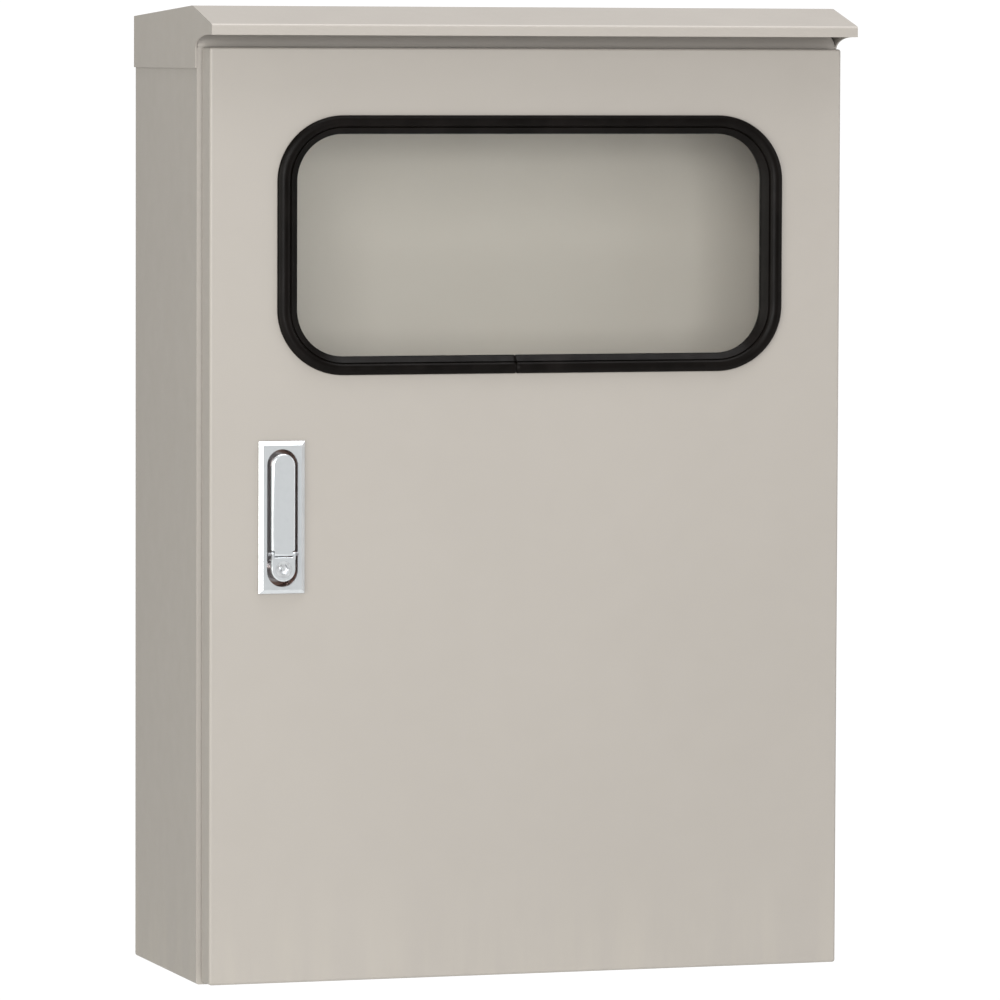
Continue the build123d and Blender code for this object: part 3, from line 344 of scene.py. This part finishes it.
MAKERS = {
    "cabinet_paint": lambda s: powder_coat(s, PAINT),
    # Painted light: the hood takes the cabinet's paint lifted by 2%, so that it reads brighter under the top
    # light.
    "hood_paint": lambda s: powder_coat(s, scaled(PAINT, 1.02), 0.0),
    "door_paint": lambda s: powder_coat(s, PAINT, 0.20),
    # Painted light: the mounting plate's paint is set about twice as light as the cabinet's, so that it
    # reads brightly lit in the shade inside the box.
    "plate_paint": lambda s: powder_coat(s, (0.77, 0.715, 0.64), 0.0),
    "zinc_steel": lambda s: plated(s, (0.66, 0.67, 0.68)),
    "dark_steel": lambda s: plated(s, (0.30, 0.30, 0.31), 0.30, 0.5),
    # The third colour is the painted shade and reflection in the handle's pocket.
    "chrome_zinc": lambda s: polished(s, (0.70, 0.73, 0.76), (0.30, 0.20, 0.17)),
    "black_rubber": lambda s: rubber(s, (0.0024, 0.0017, 0.0013)),
    "grey_foam": lambda s: foam(s, (0.055, 0.055, 0.055)),
    "clear_pane": pane_glass,
    "duct_grey": lambda s: moulding(s, (0.30, 0.32, 0.34)),
    "case_black": lambda s: moulding(s, (0.018, 0.018, 0.020), 1800.0, 0.00004),
    "case_white": lambda s: moulding(s, (0.60, 0.60, 0.57)),
    "moulding_dark": lambda s: moulding(s, (0.030, 0.030, 0.034), 1200.0, 0.00004),
    "cover_grey": lambda s: moulding(s, (0.15, 0.155, 0.16)),
    "copper": lambda s: bare_metal(s, (0.86, 0.47, 0.32), (0.42, 0.22, 0.15)),
    "brass": lambda s: bare_metal(s, (0.84, 0.66, 0.33), (0.48, 0.35, 0.17)),
    "nylon": lambda s: moulding(s, (0.72, 0.69, 0.60), 900.0),
    "shaft_brown": lambda s: moulding(s, (0.13, 0.052, 0.026), 700.0),
    "flag_red": lambda s: moulding(s, (0.55, 0.030, 0.020), 1500.0, 0.00002, (0.28, 0.4)),
    "button_green": lambda s: moulding(s, (0.020, 0.26, 0.065), 1500.0, 0.00002, (0.25, 0.36)),
    "button_grey": lambda s: moulding(s, (0.22, 0.23, 0.25), 1500.0, 0.00002, (0.25, 0.36)),
    "toggle_blue": lambda s: moulding(s, (0.016, 0.036, 0.12), 1500.0, 0.00002, (0.3, 0.42)),
    "lens_amber": lambda s: tinted_lens(s, (0.85, 0.36, 0.03)),
    "display_glass": lambda s: moulding(s, (0.030, 0.055, 0.045), 300.0, 0.000005, (0.06, 0.12)),
    "terminal_beige": lambda s: moulding(s, (0.36, 0.34, 0.26)),
}
materials = {name: MAKERS[name](name) for name in sorted(set(slot_of.values()))}


def dress(obj, name):
    """Gives a piece the material of one slot."""
    obj.data.materials.clear()
    obj.data.materials.append(materials[name])


for node_name, node in nodes.items():
    dress(node, slot_of[node_name])


def soften(node_name, width):
    """Rounds a CAD node's hard edges a little, so that they catch the light."""
    weld = nodes[node_name].modifiers.new("weld", "WELD")
    weld.merge_threshold = WELD_GAP
    bevel = nodes[node_name].modifiers.new("edge", "BEVEL")
    bevel.width = width
    bevel.segments = 2
    bevel.limit_method = "ANGLE"
    bevel.angle_limit = math.radians(EDGE_ANGLE)
    bevel.harden_normals = True


# ------------------------------------------------------------------ mesh helpers


def finish_mesh(name, mesh, body, slot, replaced):
    """Turns a bmesh into a piece that rides on a body, takes a slot's finish and replaces a CAD node."""
    bmesh.ops.recalc_face_normals(mesh, faces=mesh.faces)
    data = bpy.data.meshes.new(name)
    mesh.to_mesh(data)
    mesh.free()
    piece = bpy.data.objects.new(name, data)
    bpy.context.scene.collection.objects.link(piece)
    for face in data.polygons:
        face.use_smooth = True
    data.set_sharp_from_angle(angle=math.radians(SMOOTH_ANGLE))
    dress(piece, slot)
    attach(piece, body)
    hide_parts(replaced)


def ring_path(half_x, half_z, radius, arc_steps, seam=None):
    """The stations round a rounded rectangle: arc centre, direction and how full the section is there."""
    stations = []
    corners = ((1, 1, 0), (-1, 1, 90), (-1, -1, 180), (1, -1, 270))
    for sx, sz, start in corners:
        centre = Vector((sx * (half_x - radius), sz * (half_z - radius)))
        for i in range(arc_steps + 1):
            angle = math.radians(start + 90 * i / arc_steps)
            stations.append((centre, Vector((math.cos(angle), math.sin(angle))), 1.0))
        if seam is not None and start == 180:
            for step, full in SEAM_STEPS:
                stations.append((Vector((seam + step * MM, centre.y)), Vector((0.0, -1.0)), full))
    return stations


def swept_ring(middle, radius, section, stations, stretch=(1.0, 1.0), stretch_from=0.0):
    """A closed section of (outward, out) points in millimetres, swept through the stations of a ring.

    Points further out than stretch_from take their own widths at the sides and at top and bottom, and
    where a station isn't full the section shrinks towards its heart.
    """
    mesh = bmesh.new()
    rings = []
    heart = [sum(values) / len(section) for values in zip(*section)]
    for centre, direction, full in stations:
        ring = []
        for outward, out in section:
            pull = (1.0 - full) * SEAM_DEPTH
            away = Vector((outward - heart[0], out - heart[1]))
            if away.length > 0:
                away -= away.normalized() * min(pull, away.length)
            wide = heart[0] + away.x
            deep = heart[1] + away.y
            scale = stretch if out > stretch_from else (1.0, 1.0)
            offset = Vector((direction.x * scale[0], direction.y * scale[1])) * wide * MM
            spot = centre + direction * radius + offset
            ring.append(mesh.verts.new((middle[0] + spot.x, -deep * MM, middle[1] + spot.y)))
        rings.append(ring)
    for i, ring in enumerate(rings):
        after = rings[(i + 1) % len(rings)]
        for j in range(len(ring)):
            k = (j + 1) % len(ring)
            mesh.faces.new((ring[j], ring[k], after[k], after[j]))
    return mesh


def curve_between(points, steps):
    """A Catmull-Rom curve through open points, for soft sections."""
    spots = []
    for i in range(len(points) - 1):
        p0 = Vector(points[max(i - 1, 0)])
        p1 = Vector(points[i])
        p2 = Vector(points[i + 1])
        p3 = Vector(points[min(i + 2, len(points) - 1)])
        for j in range(steps):
            t = j / steps
            a = 2 * p1
            b = (p2 - p0) * t
            c = (2 * p0 - 5 * p1 + 4 * p2 - p3) * t * t
            d = (3 * p1 - p0 - 3 * p2 + p3) * t * t * t
            spots.append(tuple((a + b + c + d) / 2))
    spots.append(tuple(points[-1]))
    return spots


def ring_seat(node_name, side, top):
    """The middle and the inner half size, in X and Z, of a ring node whose bands are side and top wide."""
    low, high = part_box(node_name)
    middle = ((low.x + high.x) / 2, (low.z + high.z) / 2)
    half = ((high.x - low.x) / 2 - side * MM, (high.z - low.z) / 2 - top * MM)
    return middle, half


def depth_span(node_name):
    """How far out a node's front and back lie, in millimetres."""
    low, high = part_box(node_name)
    return -low.y / MM, -high.y / MM


# ------------------------------------------------------------------ rubber pieces


def window_rubber():
    """Window rubber: a rounded outer bead, a seam line and a bevel down to the pane, with its butt joint."""
    middle, half = ring_seat("window_gasket", RUBBER_SIDE, RUBBER_TOP)
    front, back = depth_span("window_gasket")
    pane_front, pane_back = depth_span("window_pane")
    door = depth_span("door_panel")[0]
    crest = [
        (5.8, front - 2.3), (6.9, front - 0.9), (9.2, front - 0.05), (11.8, front - 0.2),
        (14.2, front - 1.5), (RUBBER_BAND, front - 3.0), (14.7, door + 0.06),
    ]
    bevel = [
        (0.0, pane_front + 0.05), (0.15, pane_front + 0.7), (0.7, pane_front + 1.2),
        (5.0, front - 2.2), (5.5, front - 2.9),
    ]
    hidden = [
        (7.6, door + 0.04), (7.6, door - 1.65), (12.9, door - 1.65), (12.5, door - 4.4),
        (10.5, pane_back - 1.4), (7.0, back + 0.1), (2.2, back + 0.1), (1.2, back + 1.2),
        (1.2, pane_back - 0.05), (6.0, pane_back - 0.05), (6.0, pane_front + 0.05),
    ]
    section = bevel + curve_between(crest, 4) + hidden
    radius = RUBBER_CORNER * MM
    stations = ring_path(*half, radius, 24, RUBBER_SEAM * MM - middle[0])
    stretch = (RUBBER_SIDE / RUBBER_BAND, RUBBER_TOP / RUBBER_BAND)
    mesh = swept_ring(middle, radius, section, stations, stretch, door + 0.05)
    finish_mesh("window_rubber", mesh, "door", "black_rubber", "window_gasket")


def door_seal():
    """Door seal: a soft bead with a shallow crush line where the cabinet's lip meets it."""
    middle, half = ring_seat("door_gasket", SEAL_BAND, SEAL_BAND)
    base, top = depth_span("door_gasket")
    crown = [
        (0.0, base), (0.2, base - 5.0), (1.8, top + 1.2), (4.2, top + 0.1), (5.6, top + 0.5),
        (6.6, top + 0.5), (8.0, top + 0.1), (10.3, top + 1.2), (11.8, base - 5.0), (SEAL_BAND, base),
    ]
    radius = SEAL_CORNER * MM
    mesh = swept_ring(middle, radius, curve_between(crown, 3), ring_path(*half, radius, 10))
    finish_mesh("door_seal", mesh, "door", "grey_foam", "door_gasket")


def lathe(centres, section, steps=48):
    """A section of (radius, height) points, from axis to axis, turned about Z at each centre."""
    mesh = bmesh.new()
    for x, y, z in centres:
        rings = []
        for radius, height in section:
            if radius == 0:
                rings.append([mesh.verts.new((x, y, z + height))])
                continue
            ring = []
            for i in range(steps):
                angle = 2 * math.pi * i / steps
                place = (x + radius * math.cos(angle), y + radius * math.sin(angle), z + height)
                ring.append(mesh.verts.new(place))
            rings.append(ring)
        for below, above in zip(rings, rings[1:]):
            for i in range(steps):
                k = (i + 1) % steps
                if len(below) == 1:
                    mesh.faces.new((below[0], above[k], above[i]))
                elif len(above) == 1:
                    mesh.faces.new((below[i], below[k], above[0]))
                else:
                    mesh.faces.new((below[i], below[k], above[k], above[i]))
    return mesh


def entry_grommets():
    """Stepped cone entries with a thin membrane, one per cable."""
    low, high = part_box("cable_grommets")
    reach = ENTRY_RADIUS * MM
    columns = (low.x + reach, (low.x + high.x) / 2, high.x - reach)
    centres = [(x, (low.y + high.y) / 2, high.z) for x in columns]
    lip = [
        (0.0, -4.3), (5.0, -4.3), (5.4, -4.9), (8.4, -4.9), (8.8, -5.5), (12.6, -5.5), (13.2, -6.0),
        (15.6, -6.15), (16.7, -6.0), (16.85, -5.6), (16.85, -3.1), (16.9, -2.95), (19.3, -2.85),
        (ENTRY_RADIUS, -2.2), (19.6, -0.7), (18.4, -0.05), (14.0, -0.05), (13.1, -0.7), (12.9, -2.8),
        (9.2, -3.1), (8.9, -3.6), (5.7, -3.6), (5.2, -3.7), (0.0, -3.7),
    ]
    section = [(radius * MM, height * MM) for radius, height in lip]
    finish_mesh("entry_grommets", lathe(centres, section), "cabinet", "black_rubber", "cable_grommets")


window_rubber()
door_seal()
entry_grommets()

for name, width in (
    ("handle_hub", 0.25), ("handle_lever", 0.25), ("handle_housing", 0.2), ("hinge_body_leaves", 0.2),
    ("hinge_door_leaves", 0.2), ("latch_cam", 0.2), ("plate_nuts", 0.25), ("terminal_bolts", 0.25),
):
    soften(name, width * MM)


# ------------------------------------------------------------------ stage, light and camera


def softbox(name, place, size, power, colour):
    """A rectangular area light aimed at the object."""
    light = bpy.data.lights.new(name, "AREA")
    light.shape = "RECTANGLE"
    light.size = size[0]
    light.size_y = size[1]
    light.energy = power
    light.color = colour
    lamp = bpy.data.objects.new(name, light)
    bpy.context.scene.collection.objects.link(lamp)
    lamp.location = place
    aim = Vector(LIGHT_TARGET) - Vector(place)
    lamp.rotation_euler = aim.to_track_quat("-Z", "Y").to_euler()


def pale_floor():
    """Pale floor well under the hung cabinet."""
    mesh = bmesh.new()
    bmesh.ops.create_grid(mesh, x_segments=FLOOR_CELLS, y_segments=FLOOR_CELLS, size=FLOOR_SIZE / 2)
    data = bpy.data.meshes.new("floor")
    mesh.to_mesh(data)
    mesh.free()
    floor = bpy.data.objects.new("floor", data)
    floor.location = (0.0, 0.0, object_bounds()[0].z - FLOOR_DROP)
    bpy.context.scene.collection.objects.link(floor)
    g = Graph("floor_pale")
    tone = g.blend(g.noise(2.0, 4.0), (0.72, 0.72, 0.715), (0.76, 0.76, 0.755))
    g.principled(Base_Color=tone, Roughness=g.spread(g.noise(8.0, 4.0), 0.6, 0.75))
    data.materials.append(g.material)


def surroundings():
    """White where the camera sees them, and a softer light on the object."""
    world = bpy.data.worlds.new("studio")
    bpy.context.scene.world = world
    world.use_nodes = True
    tree = world.node_tree
    tree.nodes.clear()
    out = tree.nodes.new("ShaderNodeOutputWorld")
    path = tree.nodes.new("ShaderNodeLightPath")
    mix = tree.nodes.new("ShaderNodeMixShader")
    tree.links.new(path.outputs["Is Camera Ray"], mix.inputs["Fac"])
    for socket, (colour, strength) in ((1, AMBIENT), (2, BACKDROP)):
        glow = tree.nodes.new("ShaderNodeBackground")
        glow.inputs["Color"].default_value = colour
        glow.inputs["Strength"].default_value = strength
        tree.links.new(glow.outputs["Background"], mix.inputs[socket])
    tree.links.new(mix.outputs["Shader"], out.inputs["Surface"])


def camera():
    """Long lens, a little above and to the left of the door."""
    data = bpy.data.cameras.new("camera")
    data.lens = LENS
    data.sensor_width = SENSOR
    data.clip_start = 0.1
    data.clip_end = 100.0
    made = bpy.data.objects.new("camera", data)
    bpy.context.scene.collection.objects.link(made)
    aim = Matrix.Rotation(-math.radians(YAW), 4, "Z")
    tilt = Matrix.Rotation(math.pi / 2 - math.radians(PITCH), 4, "X")
    roll = Matrix.Rotation(math.radians(ROLL), 4, "Z")
    made.matrix_world = Matrix.Translation(EYE) @ (aim @ tilt @ roll)
    bpy.context.scene.camera = made


pale_floor()
surroundings()
for name, values in LIGHTS.items():
    softbox(name, *values)
camera()
bpy.context.scene.view_settings.view_transform = "Standard"
bpy.context.scene.view_settings.look = "None"
